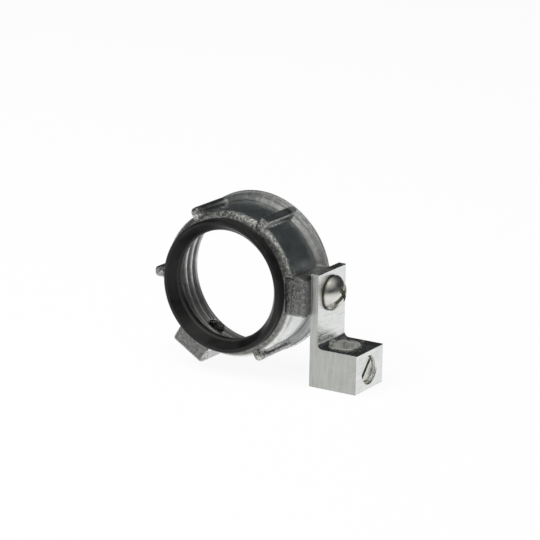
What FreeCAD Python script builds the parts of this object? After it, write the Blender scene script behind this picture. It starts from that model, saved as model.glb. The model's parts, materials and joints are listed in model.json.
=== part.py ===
"""Insulated grounding bushing for 1 inch trade size conduit, in millimetres.

The bore axis is the Y axis. Y = 0 is the inner shoulder where the end of the conduit stops,
+Y runs out of the threaded back, -Y is the insulated front, and +X points to the lug.
"""
import math
import os

import FreeCAD
import Part
from FreeCAD import Vector

# Body, a ring cast in one piece
thread_root_radius = 16.72
wall_thickness = 0.65
shoulder_to_back = 11.3
front_to_shoulder = 3.2
lead_in_depth = 1.6
lead_in_step = 1.18
front_round_width = 1.75
front_round_depth = 2.6
rim_width = 1.8
rim_front_height = 1.13
rim_back_height = 1.86
rim_cove_length = 1.2
rim_cove_sag = 0.15
rim_edge_chamfer = 0.25

# Ribs and bosses along the outside of the body, heights measured from its panels
rib_angles_and_heights = ((60.0, 1.83), (120.0, 1.73), (180.0, 2.75), (298.5, 1.6))
rib_width = 2.4
rib_front_gap = 0.15
rib_back_gap = 0.7
rib_round = 0.85
rib_nose_round = 1.2
lug_boss_angle = 0.0
lug_boss_height = 3.78
lug_boss_width = 9.3
locking_boss_angle = 238.5
locking_boss_height = 3.4
locking_boss_width = 9.3
boss_back_gap = 1.8
boss_round = 0.8
boss_nose_round = 0.85
root_fillet = 0.6

# Insulating liner, snapped over the front lip of the body
lip_width = 1.77
lip_thickness = 1.2
snap_recess_depth = 0.8
liner_clearance = 0.05
skirt_wall = 0.9
skirt_end_gap = 0.6
barb_height = 0.55
barb_land = 0.4
throat_inset = 1.25
throat_land = 1.0
throat_flare_depth = 2.6
throat_edge_round = 1.2
bead_overhang = 0.65
bead_height = 2.6
bead_corner_round = 0.5
bead_crest_width = 0.5

# Grounding lug, one length of L-shaped extrusion
lug_width = 12.1
lug_back_gap = 0.25
plate_thickness = 1.97
plate_above_screw = 5.43
block_below_screw = 11.83
block_height = 9.17
block_length = 12.14
inner_corner_fillet = 1.3
lug_edge_round = 0.2
wire_hole_radius = 3.5
wire_hole_from_back = 5.82
wire_hole_chamfer = 0.2
clamp_hole_chamfer = 0.25

# Screws, plain at the outside size of their threads
seat_clearance = 0.03
screw_clearance = 0.05
swivel_clearance = 0.08
small_screw_radius = 2.05
lug_screw_tip_gap = 0.33
head_radius = 4.1
head_side_height = 0.7
head_crown = 2.4
head_shoulder_round = 0.5
drive_width = 1.15
drive_length = 4.6
drive_depth = 2.1
head_slot_depth = 1.3
drive_turn = 38.0
set_screw_slot_width = 1.0
set_screw_slot_depth = 1.3
screw_end_chamfer = 0.3
clamp_screw_radius = 3.15
clamp_screw_length = 4.0
clamp_screw_recess = 0.94
clamp_point_chamfer = 0.9
clamp_slot_turn = 47.0
locking_screw_length = 4.76
locking_screw_from_back = 5.3
locking_tip_setback = 0.8
locking_point_chamfer = 0.7
locking_slot_turn = 20.0

# Places that follow from the sizes above
front_y = -front_to_shoulder
back_y = shoulder_to_back
panel_radius = thread_root_radius + wall_thickness
lug_boss_face = panel_radius + lug_boss_height
locking_boss_face = panel_radius + locking_boss_height
lip_hole_radius = thread_root_radius - lip_width
snap_recess_radius = lip_hole_radius + snap_recess_depth
lug_centre_y = back_y - lug_back_gap - lug_width / 2
plate_back_x = lug_boss_face + seat_clearance
plate_front_x = plate_back_x + plate_thickness
block_end_x = plate_back_x + block_length
block_top = -block_below_screw
block_bottom = block_top - block_height
wire_hole_x = plate_back_x + wire_hole_from_back
clamp_axis_z = block_top - block_height / 2
head_seat_x = plate_front_x + seat_clearance
head_top_x = head_seat_x + head_side_height + head_crown
locking_screw_y = back_y - locking_screw_from_back

# Shapes to be joined or cut run past each other by the first; places closer than the second are one
overlap = 1.0
same = 1e-5


def revolve(points):
    """Turn a closed outline of (radius, y) points about the bore axis.

    A point with two more values ends an arc, and they are the arc's middle point.
    """
    edges = []
    last = Vector(points[0][0], points[0][1], 0)
    for point in points[1:] + points[:1]:
        end = Vector(point[0], point[1], 0)
        if len(point) == 4:
            edges.append(Part.Arc(last, Vector(point[2], point[3], 0), end).toShape())
        elif (end - last).Length > same:
            edges.append(Part.LineSegment(last, end).toShape())
        last = end
    face = Part.Face(Part.Wire(edges))
    return face.revolve(Vector(0, 0, 0), Vector(0, 1, 0), 360)


def turned(shape, angle):
    """Turn a shape about the bore axis, from +X towards +Z."""
    shape = shape.copy()
    shape.rotate(Vector(0, 0, 0), Vector(0, 1, 0), -angle)
    return shape


def quarter_middle(start, end, corner):
    """Middle of the quarter arc from start to end that bulges towards corner."""
    bulge = math.sqrt(0.5)
    centre = (start[0] + end[0] - corner[0], start[1] + end[1] - corner[1])
    return (centre[0] + (corner[0] - centre[0]) * bulge, centre[1] + (corner[1] - centre[1]) * bulge)


def bowed_middle(start, end, bulge):
    """Middle of a shallow arc from start to end that bulges to the left of its way."""
    along = (end[0] - start[0], end[1] - start[1])
    share = bulge / math.hypot(along[0], along[1])
    return ((start[0] + end[0]) / 2 - along[1] * share, (start[1] + end[1]) / 2 + along[0] * share)


def fin(face, width, front_gap, back_gap, corner_round, nose_round):
    """A rib or boss standing along +X, with a round nose at its front and then rounded corners."""
    inner = thread_root_radius - overlap
    start_y = front_y + front_gap
    end_y = back_y - back_gap
    block = Part.makeBox(face - inner, end_y - start_y, width, Vector(inner, start_y, -width / 2))
    nose = [edge for edge in block.Edges if edge.CenterOfMass.x > face - same
            and edge.CenterOfMass.y < start_y + same]
    block = block.makeFillet(nose_round, nose)
    corners = [edge for edge in block.Edges if abs(edge.CenterOfMass.z) > width / 2 - same
               and edge.CenterOfMass.x > inner + same and edge.CenterOfMass.y < end_y - same]
    return block.makeFillet(corner_round, corners)


def core():
    """The plain ring between the ribs, still solid inside, with a rounded front shoulder."""
    start = (panel_radius - front_round_width, front_y)
    end = (panel_radius, front_y + front_round_depth)
    return revolve([
        (0, front_y),
        start,
        end + quarter_middle(start, end, (panel_radius, front_y)),
        (panel_radius, back_y - rim_edge_chamfer),
        (0, back_y - rim_edge_chamfer),
    ])


def root_edges(shape, angle, width):
    """Straight edges where the sides of the fin at this angle rise out of the core."""
    outward = Vector(math.cos(math.radians(angle)), 0, math.sin(math.radians(angle)))
    sideways = Vector(-outward.z, 0, outward.x)
    found = []
    for edge in (edge for edge in shape.Edges if not edge.Degenerated):
        middle = edge.valueAt((edge.FirstParameter + edge.LastParameter) / 2)
        on_side = abs(abs(middle.dot(sideways)) - width / 2) < same and middle.dot(outward) > 0
        radius = math.hypot(middle.x, middle.z)
        straight = edge.Curve.TypeId == "Part::GeomLine"
        if straight and on_side and abs(radius - panel_radius) < same:
            found.append(edge)
    return found


def ribbed_collar():
    """The core with its ribs and bosses, filleted where they rise out of it."""
    bosses = ((lug_boss_angle, lug_boss_face, lug_boss_width),
              (locking_boss_angle, locking_boss_face, locking_boss_width))
    collar = core()
    for angle, height in rib_angles_and_heights:
        face = panel_radius + height
        rib = fin(face, rib_width, rib_front_gap, rib_back_gap, rib_round, rib_nose_round)
        collar = collar.fuse(turned(rib, angle))
    for angle, face, width in bosses:
        boss = fin(face, width, 0, boss_back_gap, boss_round, boss_nose_round)
        collar = collar.fuse(turned(boss, angle))
    collar = collar.removeSplitter()
    roots = []
    for angle, height in rib_angles_and_heights:
        roots += root_edges(collar, angle, rib_width)
    for angle, face, width in bosses:
        roots += root_edges(collar, angle, width)
    return collar.makeFillet(root_fillet, roots)


def rim():
    """The flange round the back, which rises from the panels in a shallow cove."""
    back_radius = panel_radius + rim_back_height
    rim_y = back_y - rim_width
    cove_start = (panel_radius, rim_y - rim_cove_length)
    cove_end = (panel_radius + rim_front_height, rim_y)
    inner = thread_root_radius - overlap
    return revolve([
        (inner, cove_start[1]),
        cove_start,
        cove_end + bowed_middle(cove_start, cove_end, rim_cove_sag),
        (back_radius, back_y - rim_edge_chamfer),
        (back_radius - rim_edge_chamfer, back_y),
        (inner, back_y),
    ])


def bore():
    """All that is hollow along the axis: lip hole, snap recess, threaded bore and lead-in."""
    recess_y = front_y + lip_thickness
    lead_in_radius = thread_root_radius + lead_in_step
    return revolve([
        (0, front_y - overlap),
        (lip_hole_radius, front_y - overlap),
        (lip_hole_radius, recess_y),
        (snap_recess_radius, recess_y),
        (snap_recess_radius, 0),
        (thread_root_radius, 0),
        (thread_root_radius, back_y - lead_in_depth),
        (lead_in_radius, back_y),
        (lead_in_radius, back_y + overlap),
        (0, back_y + overlap),
    ])


def bushing_body():
    body = ribbed_collar().fuse(rim()).removeSplitter().cut(bore())
    hole_radius = small_screw_radius + screw_clearance
    start = thread_root_radius - overlap
    reach = lug_boss_face - start + overlap
    screw_hole = Part.makeCylinder(hole_radius, reach, Vector(start, 0, 0), Vector(1, 0, 0))
    for angle, hole_y in ((lug_boss_angle, lug_centre_y), (locking_boss_angle, locking_screw_y)):
        hole = turned(screw_hole, angle)
        hole.translate(Vector(0, hole_y, 0))
        body = body.cut(hole)
    return body


def insulating_liner():
    """A rounded bead over the front edge, with a skirt and a snap barb inside the lip."""
    skirt_radius = lip_hole_radius - liner_clearance
    skirt_inner = skirt_radius - skirt_wall
    skirt_end = -skirt_end_gap
    barb_radius = skirt_radius + barb_height
    barb_y = front_y + lip_thickness + liner_clearance
    throat_radius = skirt_inner - throat_inset
    bead_radius = lip_hole_radius + bead_overhang
    crest_y = front_y - bead_height
    bead_side = (bead_radius, crest_y + bead_corner_round)
    crest_outer = (bead_radius - bead_corner_round, crest_y)
    crest_inner = (crest_outer[0] - bead_crest_width, crest_y)
    edge_y = crest_y + throat_flare_depth
    slope = math.atan2(crest_inner[0] - throat_radius, throat_flare_depth)
    setback = throat_edge_round * math.tan(slope / 2)
    flare_end = (throat_radius + setback * math.sin(slope), edge_y - setback * math.cos(slope))
    throat_start = (throat_radius, edge_y + setback)
    edge_bulge = throat_edge_round * (1 - math.cos(slope / 2))
    throat_end_y = edge_y + throat_land
    return revolve([
        (skirt_radius, front_y),
        (bead_radius, front_y),
        bead_side,
        crest_outer + quarter_middle(bead_side, crest_outer, (bead_radius, crest_y)),
        crest_inner,
        flare_end,
        throat_start + bowed_middle(flare_end, throat_start, edge_bulge),
        (throat_radius, throat_end_y),
        (skirt_inner, throat_end_y + throat_inset),
        (skirt_inner, skirt_end),
        (skirt_radius, skirt_end),
        (barb_radius, barb_y + barb_land),
        (barb_radius, barb_y),
        (skirt_radius, barb_y),
    ])


def at_corner(edge, x, z):
    """Whether an edge along Y lies at this corner of the lug's outline."""
    centre = edge.CenterOfMass
    return abs(centre.x - x) < same and abs(centre.z - z) < same


def circles(shape, radius, least_length=0):
    """Round edges of this radius, whole ones only if the least length asks for that."""
    return [edge for edge in shape.Edges if edge.Curve.TypeId == "Part::GeomCircle"
            and abs(edge.Curve.Radius - radius) < same and edge.Length > least_length - same]


def grounding_lug():
    """Plate and block in one extrusion, drilled for the screw, the wire and the clamp screw."""
    side_y = lug_centre_y - lug_width / 2
    corners = [
        (plate_back_x, block_bottom),
        (block_end_x, block_bottom),
        (block_end_x, block_top),
        (plate_front_x, block_top),
        (plate_front_x, plate_above_screw),
        (plate_back_x, plate_above_screw),
    ]
    inner_corner = corners[3]
    outline = Part.makePolygon([Vector(x, side_y, z) for x, z in corners + corners[:1]])
    lug = Part.Face(outline).extrude(Vector(0, lug_width, 0))
    inner_edges = [edge for edge in lug.Edges if at_corner(edge, *inner_corner)]
    lug = lug.makeFillet(inner_corner_fillet, inner_edges)
    outer_edges = [edge for edge in lug.Edges if any(at_corner(edge, x, z) for x, z in corners)]
    lug = lug.makeFillet(lug_edge_round, outer_edges)
    clamp_hole_radius = clamp_screw_radius + screw_clearance
    pivot = Part.makeCylinder(small_screw_radius + swivel_clearance, plate_thickness + 2 * overlap,
                              Vector(plate_back_x - overlap, lug_centre_y, 0), Vector(1, 0, 0))
    wire = Part.makeCylinder(wire_hole_radius, block_height + 2 * overlap,
                             Vector(wire_hole_x, lug_centre_y, block_bottom - overlap))
    clamp = Part.makeCylinder(clamp_hole_radius, block_end_x - wire_hole_x + overlap,
                              Vector(wire_hole_x, lug_centre_y, clamp_axis_z), Vector(1, 0, 0))
    lug = lug.cut(pivot).cut(wire).cut(clamp)
    wire_rims = circles(lug, wire_hole_radius, 2 * math.pi * wire_hole_radius)
    lug = lug.makeChamfer(wire_hole_chamfer, wire_rims)
    return lug.makeChamfer(clamp_hole_chamfer, circles(lug, clamp_hole_radius))


def along_x(radius_points):
    """Turn an outline of (radius, x) points, arcs as in revolve, about the X axis."""
    solid = revolve(radius_points)
    solid.rotate(Vector(0, 0, 0), Vector(0, 0, 1), -90)
    return solid


def lug_screw():
    """Round head with a crossed and slotted drive, through the plate into the boss."""
    tip_x = thread_root_radius + lug_screw_tip_gap
    crown_x = head_seat_x + head_side_height
    crown_radius = (head_radius ** 2 + head_crown ** 2) / (2 * head_crown)
    half = math.asin(head_radius / crown_radius) / 2
    crown_middle = (crown_radius * math.sin(half), head_top_x - crown_radius * (1 - math.cos(half)))
    screw = along_x([
        (0, tip_x),
        (small_screw_radius - screw_end_chamfer, tip_x),
        (small_screw_radius, tip_x + screw_end_chamfer),
        (small_screw_radius, head_seat_x),
        (head_radius, head_seat_x),
        (head_radius, crown_x),
        (0, head_top_x) + crown_middle,
    ])
    shoulder = [edge for edge in screw.Edges if not edge.Degenerated
                and abs(edge.Length - 2 * math.pi * head_radius) < same
                and abs(edge.CenterOfMass.x - crown_x) < same]
    screw = screw.makeFillet(head_shoulder_round, shoulder)
    slot = Part.makeBox(head_slot_depth + overlap, 2 * head_radius + overlap, drive_width,
                        Vector(head_top_x - head_slot_depth, -head_radius - overlap / 2, -drive_width / 2))
    wing = Part.makeBox(drive_depth + overlap, drive_width, drive_length,
                        Vector(head_top_x - drive_depth, -drive_width / 2, -drive_length / 2))
    cross_wing = wing.copy()
    cross_wing.rotate(Vector(0, 0, 0), Vector(1, 0, 0), 90)
    drive = slot.fuse(wing).fuse(cross_wing)
    drive.rotate(Vector(0, 0, 0), Vector(1, 0, 0), drive_turn)
    screw = screw.cut(drive)
    screw.translate(Vector(0, lug_centre_y, 0))
    return screw


def slotted_set_screw(radius, length, point_chamfer, slot_turn):
    """Headless screw along X, its slotted end at x = 0 and its point at x = -length."""
    screw = along_x([
        (0, -length),
        (radius - point_chamfer, -length),
        (radius, -length + point_chamfer),
        (radius, -screw_end_chamfer),
        (radius - screw_end_chamfer, 0),
        (0, 0),
    ])
    slot = Part.makeBox(set_screw_slot_depth + overlap, 2 * radius + overlap, set_screw_slot_width,
                        Vector(-set_screw_slot_depth, -radius - overlap / 2, -set_screw_slot_width / 2))
    slot.rotate(Vector(0, 0, 0), Vector(1, 0, 0), slot_turn)
    return screw.cut(slot)


def wire_clamp_screw():
    screw = slotted_set_screw(clamp_screw_radius, clamp_screw_length, clamp_point_chamfer, clamp_slot_turn)
    screw.translate(Vector(block_end_x - clamp_screw_recess, lug_centre_y, clamp_axis_z))
    return screw


def locking_screw():
    """Backed off, with its point inside the boss."""
    screw = slotted_set_screw(small_screw_radius, locking_screw_length, locking_point_chamfer,
                              locking_slot_turn)
    slot_end = thread_root_radius + locking_tip_setback + locking_screw_length
    screw.translate(Vector(slot_end, locking_screw_y, 0))
    return turned(screw, locking_boss_angle)


nodes = {
    "bushing_body": bushing_body(),
    "insulating_liner": insulating_liner(),
    "grounding_lug": grounding_lug(),
    "lug_screw": lug_screw(),
    "wire_clamp_screw": wire_clamp_screw(),
    "locking_screw": locking_screw(),
}

os.makedirs("parts", exist_ok=True)
for name, shape in nodes.items():
    shape.exportStep("parts/" + name + ".step")
    print(name, "valid", shape.isValid(), "solids", len(shape.Solids), "volume", round(shape.Volume, 1))
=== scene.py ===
"""Looks of the insulated grounding bushing: threads, finishes, floor, light and camera.

Lengths are in millimetres in the frame of the part, and become metres where meshes are made.
"""
import json
import math

import bmesh
import bpy
from mathutils import Matrix, Vector

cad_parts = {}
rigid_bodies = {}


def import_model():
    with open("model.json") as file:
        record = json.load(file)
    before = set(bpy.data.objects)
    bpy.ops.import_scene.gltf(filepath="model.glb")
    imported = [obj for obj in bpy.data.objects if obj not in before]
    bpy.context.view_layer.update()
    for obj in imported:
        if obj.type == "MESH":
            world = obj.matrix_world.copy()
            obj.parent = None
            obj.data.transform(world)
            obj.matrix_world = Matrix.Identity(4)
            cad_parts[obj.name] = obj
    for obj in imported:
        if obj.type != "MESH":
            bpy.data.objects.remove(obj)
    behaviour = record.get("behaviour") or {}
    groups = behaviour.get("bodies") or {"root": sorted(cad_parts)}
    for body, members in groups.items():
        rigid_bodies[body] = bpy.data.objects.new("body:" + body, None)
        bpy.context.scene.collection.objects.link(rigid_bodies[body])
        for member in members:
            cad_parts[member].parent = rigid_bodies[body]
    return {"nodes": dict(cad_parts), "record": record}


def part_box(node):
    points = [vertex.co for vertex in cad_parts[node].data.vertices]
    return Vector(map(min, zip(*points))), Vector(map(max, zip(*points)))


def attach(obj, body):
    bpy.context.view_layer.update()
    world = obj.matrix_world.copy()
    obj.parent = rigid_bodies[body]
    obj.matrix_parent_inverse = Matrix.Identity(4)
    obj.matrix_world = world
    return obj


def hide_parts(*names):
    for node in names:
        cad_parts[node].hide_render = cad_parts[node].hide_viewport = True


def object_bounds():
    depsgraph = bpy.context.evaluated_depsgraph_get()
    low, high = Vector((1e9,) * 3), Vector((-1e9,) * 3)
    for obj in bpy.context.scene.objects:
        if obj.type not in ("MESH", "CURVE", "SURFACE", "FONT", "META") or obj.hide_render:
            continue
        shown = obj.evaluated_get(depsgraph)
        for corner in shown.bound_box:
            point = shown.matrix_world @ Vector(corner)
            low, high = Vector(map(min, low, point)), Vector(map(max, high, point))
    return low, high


for leftover in list(bpy.data.objects):
    bpy.data.objects.remove(leftover)

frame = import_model()
cad_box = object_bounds()
MM = 0.001
forward = Vector((0, 1, 0))
upward = Vector((0, 0, 1))

# Camera, at the photograph's viewing angle
view_azimuth = 31.549
view_elevation = 15.528
view_roll = 0.864
view_target = Vector((8.029, 2.706, 3.423))
view_distance = 592.8
view_lens = 173.33

# Studio: the way towards a broad soft light and how near to it, as a cosine, its edge and its core
# begin and are full; then a lamp in metres and watts, and the floor with its gap and half width
soft_light_way = (0.25, -0.25, 0.935)
soft_light_edge = (0.58, 0.9)
soft_light_core = (0.955, 0.985)
horizon = (-0.01, 0.02)
lamp_place = (-0.2, -0.3, 0.8)
lamp_size = 0.9
lamp_power = 9.0
floor_gap = 0.1
floor_reach = 4.0  # metres
floor_white = 0.92

# Conduit thread, 11.5 to the inch, and the relief round the screws that come through it
thread_pitch = 25.4 / 11.5
thread_depth = 1.05
thread_crest_width = 0.3
thread_root_width = 1.75
thread_sunk = 0.08
thread_start_y = 0.75
thread_end_y = 9.3
thread_fade_turns = 0.12
thread_end_width = 0.35
thread_steps = 120
thread_relief_radius = 2.1
thread_relief_reach = 4.0

# Fine raised line round the rim, a little wavy, and the fineness of every such ring
rim_line_radius = 18.95
rim_line_y = 10.4
rim_line_thickness = 0.22
rim_line_wave = 0.04
rim_line_waves = (5, 13, 29)
ring_steps = 360
ring_sides = 10

# Burrs round the locking screw's hole, on the wall of the bore, and round the mouth of the wire hole
lock_burr_radius = 2.36
lock_burr_thickness = 0.17
lock_burr_height = 0.48
lock_burr_waves = (7, 3, 12)
lock_burr_uneven_width = 0.35
lock_burr_uneven_height = 0.2
wire_burr_radius = 3.7
wire_burr_thickness = 0.22
wire_burr_waves = (5, 2, 11)
wire_burr_uneven_width = 0.3

# Set screws, quarter-inch and number eight, and the hole of the first; turns of their slots are in
# degrees from the direction of the bore axis
clamp_thread_pitch = 25.4 / 28
clamp_thread_depth = 0.4
clamp_point_length = 0.9
clamp_slot_turn = 47.0
locking_thread_pitch = 25.4 / 32
locking_thread_depth = 0.38
locking_point_length = 0.7
locking_slot_turn = 20.0
set_screw_slot_width = 1.0
set_screw_slot_depth = 1.3
set_screw_slot_clearance = 1.0
set_screw_end_chamfer = 0.3
set_screw_slack = 0.06
set_screw_sides = 72
rows_to_a_thread = 10
flank_steepness = 1.25
hole_thread_depth = 0.09
hole_thread_slack = 0.04
hole_thread_sunk = 0.2
hole_thread_inner_gap = 0.1
hole_thread_mouth_gap = 0.3

# Meshes: edges sharper than this many degrees stay sharp, and cuts leave no slivers
sharp_angle = 35.0
sliver_width = 0.01

# Places on the casting, the lug and the liner that their finishes follow
panel_radius = 17.37
shoulder_y = -1.5
cove_y = 8.3
rim_step_radius = 17.85
lug_seat_x = 21.15
thread_dark_radius = 16.74
chip_ring_radius = 2.4
wire_hole_radius = 3.5
lug_plate_thickness = 1.97
throat_edge_radius = 12.97

# Ranges over which a look of the casting or the liner comes in, from none to full
shaded_shoulder_foot_z = (16.5, 12.0)
calm_and_lit_shoulder_z = (2.0, -4.0)
lock_boss_reach = (13.0, 14.0)
lug_boss_x = (15.0, 16.0)
shaded_cove_z = (5.0, 13.0)
shaded_cove_x = (1.0, 6.0)
shaded_underside_y = (3.0, 7.5)
lit_low_thread_z = (-7.0, -13.0)
chipped_reach = (5.0, 10.0)
throat_highlight_y = (-2.6, -3.0)


def mount(name):
    return next(entry for entry in frame["record"]["mounts"] if entry["name"] == name)


def node_box(name):
    low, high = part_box(name)
    return low / MM, high / MM


def middle_and_outward(name):
    """The middle of a node, and the direction out to it from the bore axis."""
    low, high = node_box(name)
    middle = (low + high) / 2
    return middle, Vector((middle.x, 0, middle.z)).normalized()


bore_radius = mount("conduit_thread")["dims"]["r_mm"]
wire_mouth = Vector(mount("wire_hole")["pos_m"]) / MM
lock_middle, lock_outward = middle_and_outward("locking_screw")
lock_sideways = Vector((-lock_outward.z, 0, lock_outward.x))


class Shade:
    """A socket of a material's node tree. Arithmetic on it adds Math nodes."""

    def __init__(self, tree, socket=None):
        self.tree = tree
        self.socket = socket

    def node(self, kind, settings=None, sockets=None, output=0):
        """Add a node: its settings first, then the values or links of its sockets."""
        made = self.tree.nodes.new(kind)
        for name, value in (settings or {}).items():
            setattr(made, name, value)
        for name, value in (sockets or {}).items():
            if isinstance(value, Shade):
                self.tree.links.new(value.socket, made.inputs[name])
            else:
                made.inputs[name].default_value = value
        return Shade(self.tree, made.outputs[output])

    def math(self, operation, first, second=0.0):
        return self.node("ShaderNodeMath", {"operation": operation}, {0: first, 1: second})

    def __add__(self, other):
        return self.math("ADD", self, other)

    def __sub__(self, other):
        return self.math("SUBTRACT", self, other)

    def __rsub__(self, other):
        return self.math("SUBTRACT", other, self)

    def __mul__(self, other):
        return self.math("MULTIPLY", self, other)

    def __truediv__(self, other):
        return self.math("DIVIDE", self, other)

    def __rtruediv__(self, other):
        return self.math("DIVIDE", other, self)

    __radd__ = __add__
    __rmul__ = __mul__

    def rise(self, low, high):
        """0 below low and 1 above high, with a smooth way between; high may be the lower one."""
        sockets = {"Value": self, "From Min": low, "From Max": high}
        return self.node("ShaderNodeMapRange", {"interpolation_type": "SMOOTHSTEP"}, sockets)

    def near(self, middle, reach):
        """1 where the value is this middle, falling smoothly to 0 at the reach on both sides."""
        return self.rise(middle - reach, middle) * self.rise(middle + reach, middle)

    def mix(self, low, high):
        """The colour low where this value is 0 and high where it is 1."""
        low, high = (colour if isinstance(colour, Shade) else (*colour, 1) for colour in (low, high))
        return self.node("ShaderNodeMix", {"data_type": "RGBA"}, {0: self, 6: low, 7: high}, 2)

    def noise(self, scale, detail=3.0, roughness=0.5, stretch=(1, 1, 1)):
        """Noise from 0 to 1 on these coordinates, with a number of grains to the millimetre."""
        place = self.node("ShaderNodeMapping", {}, {"Vector": self, "Scale": stretch})
        sockets = {"Vector": place, "Scale": scale, "Detail": detail, "Roughness": roughness}
        return self.node("ShaderNodeTexNoise", {}, sockets)


class Finish:
    """A material under construction: its coordinates in millimetres and its surface shader."""

    def __init__(self, name):
        self.material = bpy.data.materials.new(name)
        self.material.use_nodes = True
        self.tree = self.material.node_tree
        self.shader = self.tree.nodes["Principled BSDF"]
        start = Shade(self.tree)
        metres = start.node("ShaderNodeTexCoord", output="Object")
        self.place = start.node("ShaderNodeVectorMath", {"operation": "SCALE"},
                                {0: metres, "Scale": 1 / MM})
        facing = start.node("ShaderNodeTexCoord", output="Normal")
        self.x, self.y, self.z = self.split(self.place)
        self.facing_x, self.facing_y, self.facing_z = self.split(facing)
        self.radius = self.length(self.x, self.z)

    def split(self, vector):
        return [vector.node("ShaderNodeSeparateXYZ", {}, {0: vector}, axis) for axis in range(3)]

    def length(self, first, second):
        square = first * first + second * second
        return square.math("SQRT", square)

    def set(self, **values):
        """Set or link sockets of the surface shader, named with _ for a space."""
        for name, value in values.items():
            socket = self.shader.inputs[name.replace("_", " ")]
            if isinstance(value, Shade):
                self.tree.links.new(value.socket, socket)
            else:
                socket.default_value = value

    def bump(self, height, depth, strength=1.0):
        """Raise the surface by a height from 0 to 1, given its depth in millimetres."""
        bump = height.node("ShaderNodeBump", {}, {"Height": height, "Distance": depth * MM,
                                                  "Strength": strength})
        self.set(Normal=bump)


def cast_zinc():
    """Die-cast zinc: smooth panels, crinkled shoulder, dull flat fronts, scuffed rim, worn thread;
    painted shade in the cove, on rib sides, at the lug seat, underneath, at the shoulder's foot
    and in the bore, and painted light on the lower shoulder and low in the thread.
    """
    finish = Finish("cast_zinc")
    place = finish.place
    cloud = place.noise(0.22, 3.0).rise(0.3, 0.7)
    blotch = (place.noise(0.45, 5.0, 0.65).rise(0.3, 0.7) + cloud) * 0.5
    grain = place.noise(1.3, 4.0, 0.6).rise(0.32, 0.7)
    pit = place.noise(3.2, 3.0, 0.6).rise(0.3, 0.7)
    scuff = place.noise(0.8, 4.0, 0.6).rise(0.35, 0.65)
    fine = place.noise(9.0, 2.0)
    turned = place.noise(1.0, 4.0, 0.65, (0.5, 6.0, 0.5)).rise(0.32, 0.68)
    facing_out = (finish.x * finish.facing_x + finish.z * finish.facing_z) / finish.radius
    along_lock = finish.x * lock_outward.x + finish.z * lock_outward.z
    aside_lock = finish.x * lock_outward.z - finish.z * lock_outward.x
    from_lock = finish.length(aside_lock, finish.y - lock_middle.y)

    raised = finish.radius.rise(panel_radius + 0.1, panel_radius + 0.4)
    shoulder = finish.y.rise(shoulder_y + 0.6, shoulder_y - 0.6)
    shaded_shoulder_foot = (finish.facing_y.rise(-0.55, -0.82) * (1 - raised)
                     * finish.z.rise(*shaded_shoulder_foot_z))
    calm_and_lit = finish.z.rise(*calm_and_lit_shoulder_z)
    lock_boss = along_lock.rise(*lock_boss_reach)
    flat_front = (lock_boss + finish.x.rise(*lug_boss_x)) * finish.facing_y.rise(-0.9, -0.97)
    past_cove = finish.y.rise(cove_y - 0.3, cove_y + 0.1)
    rim = finish.radius.rise(panel_radius - 0.02, panel_radius + 0.25) * past_cove
    rim_band = finish.radius.rise(rim_step_radius + 0.2, rim_step_radius + 0.5)
    shaded_cove_foot = (finish.y.near(cove_y - 0.2, 1.4) * finish.z.rise(*shaded_cove_z)
                 * finish.x.rise(*shaded_cove_x))
    standing = finish.radius.rise(panel_radius + 0.01, panel_radius + 0.1) * (1 - past_cove)
    shaded_rib_side = standing * facing_out.rise(0.97, 0.8) * (1 - lock_boss * 0.35)
    lug_seat_shade = finish.x.rise(lug_seat_x - 1.3, lug_seat_x - 0.7)
    shaded_underside = finish.facing_z.rise(-0.15, -0.5) * finish.y.rise(*shaded_underside_y)
    inside = (finish.radius.rise(thread_dark_radius, thread_dark_radius - 0.02)
              * finish.y.rise(0.05, 0.15))
    crest = finish.radius.rise(thread_dark_radius - 0.65, thread_dark_radius - 0.95)
    lit_low_thread = finish.z.rise(*lit_low_thread_z)
    chipped = (from_lock.near(chip_ring_radius, 0.4) * along_lock.rise(*chipped_reach)
               * pit.rise(0.35, 0.6))
    rough = grain * 0.6 + pit * 0.4
    flake = rough.rise(0.22, 0.78)

    colour = blotch.mix((0.56, 0.585, 0.59), (0.8, 0.815, 0.81))
    colour = rim.mix(colour, scuff.mix((0.66, 0.67, 0.655), (0.86, 0.865, 0.85)))
    colour = (rim * rim_band).mix(colour, scuff.mix((0.54, 0.545, 0.536), (0.74, 0.745, 0.732)))
    # Painted shade: the foot of the cove before the rim is darkened on the upper right
    colour = (shaded_cove_foot * 0.8).mix(colour, blotch.mix((0.24, 0.25, 0.25), (0.36, 0.366, 0.362)))
    # Painted shade on the sides and root fillets of the ribs and bosses
    colour = shaded_rib_side.mix(colour, grain.mix((0.22, 0.224, 0.222), (0.46, 0.464, 0.455)))
    # Painted shade and reflection: faces that look down are darkened towards the back
    colour = (shaded_underside * 0.75).mix(colour, cloud.mix((0.2, 0.21, 0.22), (0.34, 0.35, 0.355)))
    colour = shoulder.mix(colour, flake.mix((0.4, 0.403, 0.382), (0.94, 0.945, 0.905)))
    # Smoother finish low on the shoulder, painted lighter there as a painted reflection of the floor
    colour = (shoulder * calm_and_lit * (1 - raised)).mix(colour, rough.mix((0.66, 0.665, 0.645),
                                                                    (0.9, 0.905, 0.885)))
    colour = (shoulder * raised).mix(colour, flake.mix((0.26, 0.262, 0.25), (0.62, 0.625, 0.6)))
    # Painted shade: the shoulder's forward faces beside the liner's bead are darkened, except near
    # the top
    colour = shaded_shoulder_foot.mix(colour, rough.mix((0.08, 0.08, 0.075), (0.3, 0.3, 0.285)))
    colour = flat_front.mix(colour, rough.mix((0.1, 0.102, 0.1), (0.3, 0.3, 0.293)))
    # Painted shade where the boss meets the lug's plate
    colour = (lug_seat_shade * (1 - flat_front)).mix(colour, rough.mix((0.06, 0.061, 0.06),
                                                                 (0.3, 0.302, 0.3)))
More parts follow.
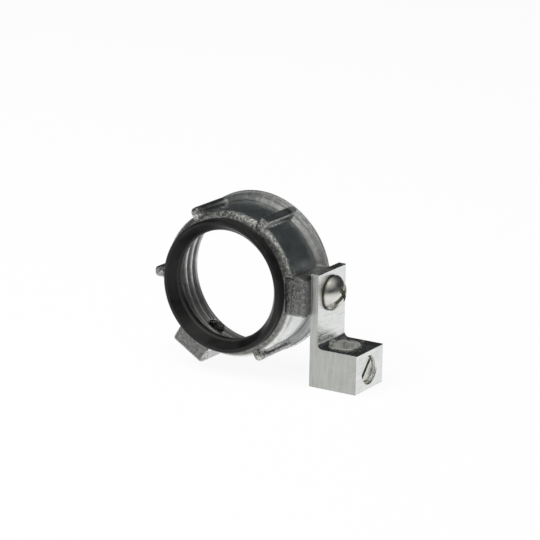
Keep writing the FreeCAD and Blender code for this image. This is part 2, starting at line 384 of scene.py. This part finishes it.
    # Painted shade darkens the bore's wall; worn crests and turned streaks are lighter, and the
    # thread is painted lighter low in the bore as painted light
    worn_and_lit = crest * 0.6 + turned * 0.4 + lit_low_thread * 0.4
    colour = inside.mix(colour, worn_and_lit.mix((0.15, 0.152, 0.154), (0.76, 0.765, 0.75)))
    colour = (inside * chipped).mix(colour, (0.95, 0.95, 0.93))
    finish.set(Base_Color=colour, Metallic=1.0,
               Roughness=(inside * (1 - crest * 0.4) * 0.3 + rim * 0.27 + cloud * 0.06
                          + fine * 0.05 + 0.18))
    crinkled = shoulder * (1 - flat_front * 0.5) * (0.7 - calm_and_lit * 0.45)
    finish.bump(rough * (crinkled + shaded_rib_side * 0.3 + 0.02) + scuff * rim * 0.3 + fine * 0.03, 0.16)
    return finish.material


def bright_metal(name, least_roughness):
    """Metal that is rubbed or broken bright, with dull spots."""
    finish = Finish(name)
    dull = finish.place.noise(0.9, 4.0, 0.6).rise(0.5, 0.68)
    fine = finish.place.noise(9.0, 2.0)
    finish.set(Base_Color=dull.mix((0.96, 0.96, 0.94), (0.6, 0.605, 0.595)), Metallic=1.0,
               Roughness=dull * 0.1 + fine * 0.1 + least_roughness)
    finish.bump(fine, 0.02, 0.6)
    return finish.material


def black_liner():
    """Moulded black plastic with a fine grain, a few paler scuffs, and a painted highlight along the
    throat's edge.
    """
    finish = Finish("black_liner")
    place = finish.place
    cloud = place.noise(0.3, 3.0).rise(0.3, 0.7)
    grain = place.noise(6.0, 3.0)
    scuff = place.noise(1.1, 5.0, 0.7).rise(0.58, 0.72)
    throat_highlight = finish.radius.near(throat_edge_radius, 0.3) * finish.y.rise(*throat_highlight_y)
    colour = (cloud * 0.7 + scuff * 0.3).mix((0.006, 0.006, 0.006), (0.02, 0.02, 0.0195))
    # Painted highlight: a paler line along the rounded edge of the throat
    colour = throat_highlight.mix(colour, grain.mix((0.028, 0.028, 0.026), (0.06, 0.06, 0.056)))
    finish.set(Base_Color=colour, Roughness=cloud * 0.08 + grain * 0.08 + scuff * 0.08 + 0.3,
               Specular_IOR_Level=0.28)
    finish.bump(grain, 0.02, 0.6)
    return finish.material


def lug_aluminium():
    """Extruded aluminium with a tin finish: sawn ends are brushed up and down, and upward faces are
    darkened as painted shade.
    """
    finish = Finish("lug_aluminium")
    place = finish.place
    sawn = (finish.facing_y * finish.facing_y).rise(0.5, 0.8)
    top_z = wire_mouth.z
    from_wire = finish.length(finish.x - wire_mouth.x, finish.y - wire_mouth.y)
    drilled = (from_wire.rise(wire_hole_radius + 0.08, wire_hole_radius + 0.03)
               * finish.z.rise(top_z + 0.2, top_z))
    burr = (from_wire.rise(wire_hole_radius + 0.3, wire_hole_radius + 0.2)
            * finish.z.rise(top_z - 0.35, top_z - 0.3))
    low, high = node_box("wire_clamp_screw")
    from_clamp = finish.length(finish.y - (low.y + high.y) / 2, finish.z - (low.z + high.z) / 2)
    clamp_radius = (high.z - low.z) / 2
    tapped = (from_clamp.rise(clamp_radius + 0.12, clamp_radius + 0.08)
              * finish.x.rise(low.x - 0.2, low.x))
    shaded_top = finish.facing_z.rise(0.6, 0.9)
    streak = place.noise(1.0, 4.0, 0.6, (3.0, 3.0, 0.14)).rise(0.28, 0.72)
    drawn = place.noise(1.0, 4.0, 0.6, (2.6, 0.12, 2.6)).rise(0.28, 0.72)
    cloud = place.noise(0.3, 4.0, 0.6).rise(0.3, 0.7)
    lines = sawn * streak + (1 - sawn) * drawn
    scraped = shaded_top * place.noise(0.6, 4.0, 0.65, (1.0, 0.4, 1.0)).rise(0.44, 0.68)
    smooth = (drawn * 0.6 + cloud * 0.4).mix((0.6, 0.615, 0.605), (0.84, 0.85, 0.84))
    brushed = (streak * 0.6 + cloud * 0.4).mix((0.375, 0.385, 0.366), (0.605, 0.615, 0.589))
    colour = sawn.mix(smooth, brushed)
    shaded_top_tone = drawn * 0.3 + cloud * 0.7
    # Painted shade: faces that look upward are darkened, with lighter scraped patches on them
    colour = shaded_top.mix(colour, shaded_top_tone.mix((0.27, 0.265, 0.25), (0.5, 0.494, 0.474)))
    colour = scraped.mix(colour, drawn.mix((0.5, 0.497, 0.48), (0.78, 0.775, 0.755)))
    bored = (cloud * 0.6 + streak * 0.4).rise(0.2, 0.6)
    colour = drilled.mix(colour, bored.mix((0.6, 0.6, 0.585), (1.0, 1.0, 0.98)))
    colour = (burr + tapped).mix(colour, drawn.mix((0.88, 0.88, 0.86), (1.0, 1.0, 0.98)))
    finish.set(Base_Color=colour, Metallic=1.0,
               Roughness=(lines * 0.1 + cloud * 0.08 + sawn * 0.14 + scraped * 0.35 + drilled * 0.42
                          + burr * 0.4 + tapped * 0.2 + 0.12))
    finish.bump(lines, 0.03)
    return finish.material


def plated_steel():
    """Bright zinc plate on steel, a little yellow in places, with painted shade round the foot of the
    head.
    """
    finish = Finish("plated_steel")
    place = finish.place
    cloud = place.noise(0.5, 3.0).rise(0.3, 0.7)
    fine = place.noise(5.0, 3.0)
    seat = node_box("grounding_lug")[0].x + lug_plate_thickness
    contact_shade = finish.x.rise(seat + 0.55, seat + 0.15) * finish.x.rise(seat - 0.1, seat)
    colour = cloud.mix((0.6, 0.607, 0.592), (0.79, 0.785, 0.715))
    # Painted shade: a dark ring round the foot of the head, where it meets the plate
    colour = contact_shade.mix(colour, fine.mix((0.06, 0.052, 0.035), (0.2, 0.17, 0.11)))
    finish.set(Base_Color=colour, Metallic=1.0,
               Roughness=cloud * 0.12 + fine * 0.08 + contact_shade * 0.2 + 0.2)
    finish.bump(fine, 0.015, 0.5)
    return finish.material


zinc = cast_zinc()
rubbed_zinc = bright_metal("rubbed_zinc", 0.5)
broken_zinc = bright_metal("broken_zinc", 0.12)
bright_burr = bright_metal("bright_burr", 0.1)
plastic = black_liner()
aluminium = lug_aluminium()
steel = plated_steel()


def mesh_piece(name, points, faces, body, material):
    """A mesh from points in millimetres, riding on a body of the part."""
    mesh = bpy.data.meshes.new(name)
    mesh.from_pydata([Vector(point) * MM for point in points], [], faces)
    mesh.validate()
    mesh.shade_smooth()
    mesh.set_sharp_from_angle(angle=math.radians(sharp_angle))
    mesh.materials.append(material)
    piece = bpy.data.objects.new(name, mesh)
    bpy.context.scene.collection.objects.link(piece)
    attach(piece, body)
    return piece


def cut_away(piece, cutter):
    """Take the cutter's shape out of a piece for good, and the cutter out of the scene."""
    step = piece.modifiers.new("cut", "BOOLEAN")
    step.object = cutter
    step.operation = "DIFFERENCE"
    step.solver = "EXACT"
    shown = bpy.context.evaluated_depsgraph_get()
    mesh = bpy.data.meshes.new_from_object(piece.evaluated_get(shown))
    piece.modifiers.remove(step)
    piece.data = mesh
    bpy.data.objects.remove(cutter)
    clean = bmesh.new()
    clean.from_mesh(mesh)
    bmesh.ops.triangulate(clean, faces=clean.faces)
    bmesh.ops.remove_doubles(clean, verts=clean.verts, dist=sliver_width * MM)
    bmesh.ops.dissolve_degenerate(clean, edges=clean.edges, dist=sliver_width * MM)
    clean.to_mesh(mesh)
    clean.free()
    mesh.shade_smooth()
    mesh.set_sharp_from_angle(angle=math.radians(sharp_angle))


def ring_faces(rows, columns):
    """Quads of a grid that is closed along its columns."""
    return [(row * columns + column, row * columns + (column + 1) % columns,
             (row + 1) * columns + (column + 1) % columns, (row + 1) * columns + column)
            for row in range(rows - 1) for column in range(columns)]


def closing_faces(last, columns):
    """Quads from the last row of such a grid, given its first point, back to the first row."""
    return [(last + column, last + (column + 1) % columns, (column + 1) % columns, column)
            for column in range(columns)]


def cutter_mesh(name, points, faces):
    """A closed mesh that only cuts."""
    mesh = bpy.data.meshes.new(name)
    mesh.from_pydata([Vector(point) * MM for point in points], [], faces)
    cutter = bpy.data.objects.new(name, mesh)
    bpy.context.scene.collection.objects.link(cutter)
    return cutter


def drill(middle, direction, radius, reach, sides=48):
    """A cylinder along a direction, as a cutter."""
    direction = Vector(direction).normalized()
    side = direction.orthogonal().normalized()
    other = direction.cross(side)
    points = []
    for along in (-reach, reach):
        for step in range(sides):
            turn = 2 * math.pi * step / sides
            points.append(Vector(middle) + direction * along
                          + side * (radius * math.cos(turn)) + other * (radius * math.sin(turn)))
    faces = ring_faces(2, sides)
    faces += [tuple(reversed(range(sides))), tuple(range(sides, 2 * sides))]
    return cutter_mesh("drill", points, faces)


def conduit_thread():
    """One ridge wound inside the bore, fading into the wall at both ends."""
    turns = (thread_end_y - thread_start_y) / thread_pitch
    rows = int(turns * thread_steps)
    points = []
    for row in range(rows + 1):
        turn = turns * row / rows
        y = thread_start_y + thread_pitch * turn
        height = min(1.0, turn / thread_fade_turns, (turns - turn) / thread_fade_turns)
        crest = bore_radius - thread_depth * height
        angle = -2 * math.pi * turn
        for radius, shift in ((bore_radius + thread_sunk, -thread_root_width / 2),
                              (crest, -thread_crest_width / 2),
                              (crest, thread_crest_width / 2),
                              (bore_radius + thread_sunk, thread_root_width / 2)):
            width = thread_end_width + (1 - thread_end_width) * height
            points.append((radius * math.cos(angle), y + shift * width, radius * math.sin(angle)))
    faces = ring_faces(rows + 1, 4)
    faces += [(3, 2, 1, 0), tuple(range(rows * 4, rows * 4 + 4))]
    return mesh_piece("conduit_thread", points, faces, "bushing", zinc)


def closed_tube(name, steps, sides, centre_at, across_at, along, body, material):
    """A tube whose ends meet; its centre, way across and two half widths come from the turn."""
    points = []
    for step in range(steps):
        turn = 2 * math.pi * step / steps
        centre = centre_at(turn)
        across, wide, tall = across_at(turn)
        for side in range(sides):
            roll = 2 * math.pi * side / sides
            points.append(centre + across * (wide * math.cos(roll)) + along * (tall * math.sin(roll)))
    last = (steps - 1) * sides
    faces = ring_faces(steps, sides)
    faces += closing_faces(last, sides)
    mesh_piece(name, points, faces, body, material)


def ripple(turn, waves):
    """An uneven wave from -1 to 1 round a ring, from three numbers of waves."""
    first, second, third = waves
    return (math.sin(first * turn) + math.sin(second * turn + 1) + math.sin(third * turn + 2)) / 3


def rim_line():
    """The fine raised line that runs round the rim near its edge."""
    def across(turn):
        return Vector((math.cos(turn), 0, math.sin(turn))), rim_line_thickness, rim_line_thickness

    def centre(turn):
        y = rim_line_y + rim_line_wave * ripple(turn, rim_line_waves)
        return across(turn)[0] * rim_line_radius + forward * y

    closed_tube("rim_line", ring_steps, ring_sides, centre, across, forward,
                "bushing", rubbed_zinc)


def locking_hole_burr():
    """The ragged burr round the locking screw's hole, on the wall of the bore."""
    def across(turn):
        wide = lock_burr_thickness * (1 + lock_burr_uneven_width * ripple(turn, lock_burr_waves))
        return lock_sideways * math.cos(turn) + forward * math.sin(turn), wide, 2 * wide

    def centre(turn):
        aside = lock_burr_radius * math.cos(turn)
        ragged = lock_burr_height * (1 + lock_burr_uneven_height * ripple(turn, lock_burr_waves))
        height = math.sqrt(bore_radius ** 2 - aside ** 2) - ragged
        return (lock_outward * height + forward * lock_middle.y
                + across(turn)[0] * lock_burr_radius)

    closed_tube("locking_hole_burr", ring_steps, ring_sides, centre, across, lock_outward,
                "bushing", broken_zinc)


def wire_hole_burr():
    """The low bright burr round the mouth of the wire hole."""
    def across(turn):
        wide = wire_burr_thickness * (1 + wire_burr_uneven_width * ripple(turn, wire_burr_waves))
        return Vector((math.cos(turn), math.sin(turn), 0)), wide, wide

    def centre(turn):
        return wire_mouth + across(turn)[0] * wire_burr_radius

    closed_tube("wire_hole_burr", ring_steps, ring_sides, centre, across, upward,
                "lug", bright_burr)


def wound(axial, turn, pitch):
    """How far a place is from the root of a thread, 0 there and 1 on the crest."""
    phase = (axial / pitch - turn / (2 * math.pi)) % 1.0
    return min(1.0, flank_steepness * (1.0 - abs(2.0 * phase - 1.0)))


def set_screw(name, node, body, outward, slot_way, pitch, depth, point_length):
    """A headless screw with a cut thread, a pointed end and a slot, in place of its plain solid."""
    corners = [vertex.co / MM for vertex in frame["nodes"][node].data.vertices]
    reach = [corner.dot(outward) for corner in corners]
    low, high = node_box(node)
    foot = (low + high) / 2
    foot -= outward * foot.dot(outward)
    start, end = min(reach), max(reach)
    outer = max((corner - foot - outward * corner.dot(outward)).length for corner in corners)
    outer -= set_screw_slack
    side = slot_way - outward * slot_way.dot(outward)
    side.normalize()
    other = outward.cross(side)
    rows = int((end - start) / pitch * rows_to_a_thread)
    points = []
    for row in range(rows + 1):
        axial = (end - start) * row / rows
        from_end = end - start - axial
        taper = min(outer, outer - point_length + axial, outer - set_screw_end_chamfer + from_end)
        for step in range(set_screw_sides):
            turn = 2 * math.pi * step / set_screw_sides
            radius = min(taper, outer - depth * (1 - wound(axial, turn, pitch)))
            points.append(foot + outward * (start + axial)
                          + side * (radius * math.cos(turn)) + other * (radius * math.sin(turn)))
    faces = ring_faces(rows + 1, set_screw_sides)
    faces += [tuple(reversed(range(set_screw_sides))),
              tuple(range(rows * set_screw_sides, (rows + 1) * set_screw_sides))]
    screw = mesh_piece(name, points, faces, body, steel)
    slot_corners = []
    for along in (end - set_screw_slot_depth, end + set_screw_slot_clearance):
        for across, wide in ((-1, -1), (1, -1), (1, 1), (-1, 1)):
            slot_corners.append(foot + outward * along + side * (across * 2 * outer)
                                + other * (wide * set_screw_slot_width / 2))
    slot_faces = ring_faces(2, 4) + [(3, 2, 1, 0), (4, 5, 6, 7)]
    cut_away(screw, cutter_mesh("slot", slot_corners, slot_faces))
    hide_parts(node)


def clamp_hole_thread():
    """Shallow turns of thread on the wall of the clamp screw's hole, from the wire hole outwards."""
    low, high = node_box("wire_clamp_screw")
    centre = (low + high) / 2
    mouth = node_box("grounding_lug")[1].x - hole_thread_mouth_gap
    wall = (high.z - low.z) / 2 + hole_thread_slack
    rows = int((mouth - low.x) / clamp_thread_pitch * rows_to_a_thread)
    points = []
    inner_rows = [(row, 0) for row in range(rows + 1)]
    for row, sunk in inner_rows + [(rows, hole_thread_sunk), (0, hole_thread_sunk)]:
        for step in range(set_screw_sides):
            turn = 2 * math.pi * step / set_screw_sides
            aside = wall * math.cos(turn)
            start = wire_mouth.x + math.sqrt(wire_hole_radius ** 2 - aside ** 2)
            start += hole_thread_inner_gap
            x = start + (mouth - start) * row / rows
            raised = hole_thread_depth * wound(x - low.x, turn, clamp_thread_pitch)
            radius = wall + sunk if sunk else wall - raised
            points.append((x, centre.y + radius * math.cos(turn), centre.z + radius * math.sin(turn)))
    last = (rows + 2) * set_screw_sides
    faces = ring_faces(rows + 3, set_screw_sides)
    faces += closing_faces(last, set_screw_sides)
    faces = [tuple(reversed(face)) for face in faces]
    mesh_piece("clamp_hole_thread", points, faces, "lug", aluminium)


thread = conduit_thread()
for screw_node in ("lug_screw", "locking_screw"):
    middle, outward = middle_and_outward(screw_node)
    foot = outward * bore_radius + forward * middle.y
    cut_away(thread, drill(foot, outward, thread_relief_radius, thread_relief_reach))

turn = math.radians(clamp_slot_turn)
set_screw("clamp_screw_threaded", "wire_clamp_screw", "wire_clamp", Vector((1, 0, 0)),
          forward * math.cos(turn) + upward * math.sin(turn),
          clamp_thread_pitch, clamp_thread_depth, clamp_point_length)
turn = math.radians(locking_slot_turn)
set_screw("locking_screw_threaded", "locking_screw", "lock", lock_outward,
          forward * math.cos(turn) + lock_sideways * math.sin(turn),
          locking_thread_pitch, locking_thread_depth, locking_point_length)
clamp_hole_thread()
rim_line()
locking_hole_burr()
wire_hole_burr()

for node, material in (("bushing_body", zinc), ("insulating_liner", plastic),
                       ("grounding_lug", aluminium), ("lug_screw", steel),
                       ("wire_clamp_screw", steel), ("locking_screw", steel)):
    shown = frame["nodes"][node]
    shown.data.materials.clear()
    shown.data.materials.append(material)


def studio_floor():
    """A pale floor that shows white, with part of the shadow kept."""
    lowest = cad_box[0].z - floor_gap * MM
    corners = [(floor_reach * side, floor_reach * end, lowest)
               for side, end in ((-1, -1), (1, -1), (1, 1), (-1, 1))]
    mesh = bpy.data.meshes.new("floor")
    mesh.from_pydata(corners, [], [(0, 1, 2, 3)])
    floor = bpy.data.objects.new("floor", mesh)
    bpy.context.scene.collection.objects.link(floor)
    material = bpy.data.materials.new("floor_white")
    material.use_nodes = True
    tree = material.node_tree
    tree.nodes.remove(tree.nodes["Principled BSDF"])
    start = Shade(tree)
    camera_ray, glossy_ray, clear_ray = (start.node("ShaderNodeLightPath", output=ray) for ray in
                                         ("Is Camera Ray", "Is Glossy Ray", "Is Transmission Ray"))
    seen = camera_ray + glossy_ray + clear_ray
    lit = start.node("ShaderNodeBsdfDiffuse", {}, {"Color": (0.85, 0.85, 0.85, 1)})
    glow = start.node("ShaderNodeEmission", {}, {"Color": (1, 1, 1, 1), "Strength": 1.0})
    both = start.node("ShaderNodeMixShader", {}, {0: seen * floor_white, 1: lit, 2: glow})
    tree.links.new(both.socket, tree.nodes["Material Output"].inputs["Surface"])
    mesh.materials.append(material)


def studio_world():
    """White below the horizon, dim above it, with a broad soft light overhead."""
    world = bpy.data.worlds.new("studio")
    world.use_nodes = True
    bpy.context.scene.world = world
    tree = world.node_tree
    start = Shade(tree)
    way = start.node("ShaderNodeTexCoord", output="Generated")
    height = start.node("ShaderNodeSeparateXYZ", {}, {0: way}, 2)
    toward = start.node("ShaderNodeVectorMath", {"operation": "DOT_PRODUCT"},
                        {0: way, 1: soft_light_way}, 1)
    sky = toward.rise(*soft_light_edge).mix((0.048, 0.053, 0.055), (0.52, 0.522, 0.51))
    sky = toward.rise(*soft_light_core).mix(sky, (1.8, 1.78, 1.74))
    colour = height.rise(*horizon).mix((1, 1, 1), sky)
    tree.links.new(colour.socket, tree.nodes["Background"].inputs["Color"])


def studio_lamp():
    """A large square lamp over the floor, which metal does not mirror."""
    light = bpy.data.lights.new("overhead_softbox", "AREA")
    light.shape = "RECTANGLE"
    light.size, light.size_y = lamp_size, lamp_size
    light.energy = lamp_power
    lamp = bpy.data.objects.new("overhead_softbox", light)
    lamp.visible_glossy = False
    lamp.location = lamp_place
    lamp.rotation_euler = (-Vector(lamp_place)).to_track_quat("-Z", "Y").to_euler()
    bpy.context.scene.collection.objects.link(lamp)


def studio_camera():
    """The camera at the photograph's angle."""
    turn = math.radians(view_azimuth)
    lift = math.radians(view_elevation)
    roll = math.radians(view_roll)
    back = Vector((math.sin(turn) * math.cos(lift), -math.cos(turn) * math.cos(lift),
                   math.sin(lift)))
    level = Vector((math.cos(turn), math.sin(turn), 0))
    right = level * math.cos(roll) + back.cross(level) * math.sin(roll)
    axes = Matrix((right, back.cross(right), back)).transposed().to_4x4()
    data = bpy.data.cameras.new("camera")
    data.lens = view_lens
    data.sensor_width = 36.0
    data.clip_start = 0.01
    camera = bpy.data.objects.new("camera", data)
    camera.matrix_world = Matrix.Translation((view_target + back * view_distance) * MM) @ axes
    bpy.context.scene.collection.objects.link(camera)
    bpy.context.scene.camera = camera


studio_floor()
studio_world()
studio_lamp()
studio_camera()
bpy.context.scene.view_settings.view_transform = "Standard"
